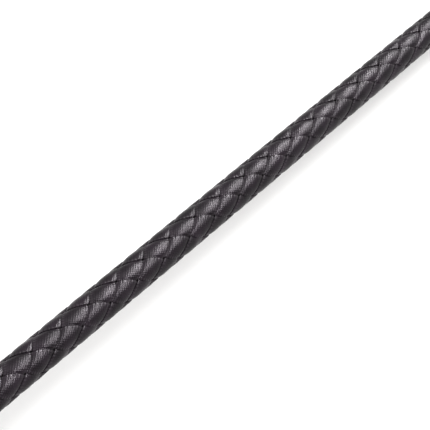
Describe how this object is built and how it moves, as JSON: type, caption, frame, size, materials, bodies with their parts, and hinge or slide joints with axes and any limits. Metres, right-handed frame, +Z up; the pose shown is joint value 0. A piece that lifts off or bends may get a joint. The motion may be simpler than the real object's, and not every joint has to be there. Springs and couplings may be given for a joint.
{
  "type": "riding crop",
  "caption": "Slim riding crop: tapered rod in a braided tape cover, leather grip with a domed butt cap, a wrist loop on a steel staple, and a flat stitched leather keeper at the tip.",
  "frame": {"origin": "on the plane that the crop lies on, under the middle of its length with the wrist loop laid out", "axes": "+X along the crop from the butt to the keeper, +Y across it, +Z up from the plane it lies on"},
  "size_m": [0.806, 0.064, 0.0261],
  "materials": {
    "rod": "black pultruded fibreglass, semi-gloss",
    "tape": "woven tape with a satin face and fine cross ribs",
    "former": "matt moulded rubber",
    "leather": "fine grained, lightly waxed",
    "thread": "waxed twisted thread",
    "cap": "smooth satin moulded rubber",
    "steel": "nickel plated wire, polished"
  },
  "bodies": {
    "crop": {"core_rod": "rod", "strand_1": "tape", "strand_2": "tape", "strand_3": "tape", "strand_4": "tape", "strand_5": "tape", "strand_6": "tape", "strand_7": "tape", "strand_8": "tape", "grip_former": "former", "grip_leather": "leather", "rear_knot": "thread", "front_knot": "thread", "butt_cap": "cap", "strap_staple": "steel", "tip_binding": "thread", "keeper_tang": "leather"},
    "wrist_loop": {"wrist_strap": "leather", "strap_rivet": "steel"},
    "keeper": {"keeper_leaf_upper": "leather", "keeper_leaf_lower": "leather", "keeper_stitching": "thread"}
  },
  "joints": [
    {"name": "wrist_loop_swing", "type": "hinge", "parent": "crop", "child": "wrist_loop", "pos_m": [-0.25301, 0, 0.01327], "axis": [0, 0, 1], "range_deg": [-85, 85]},
    {"name": "keeper_flex", "type": "hinge", "parent": "crop", "child": "keeper", "pos_m": [0.32102, 0, 0.00443], "axis": [0, 1, 0], "range_deg": [-60, 60], "stiffness_Nm_per_rad": 0.05}
  ]
}
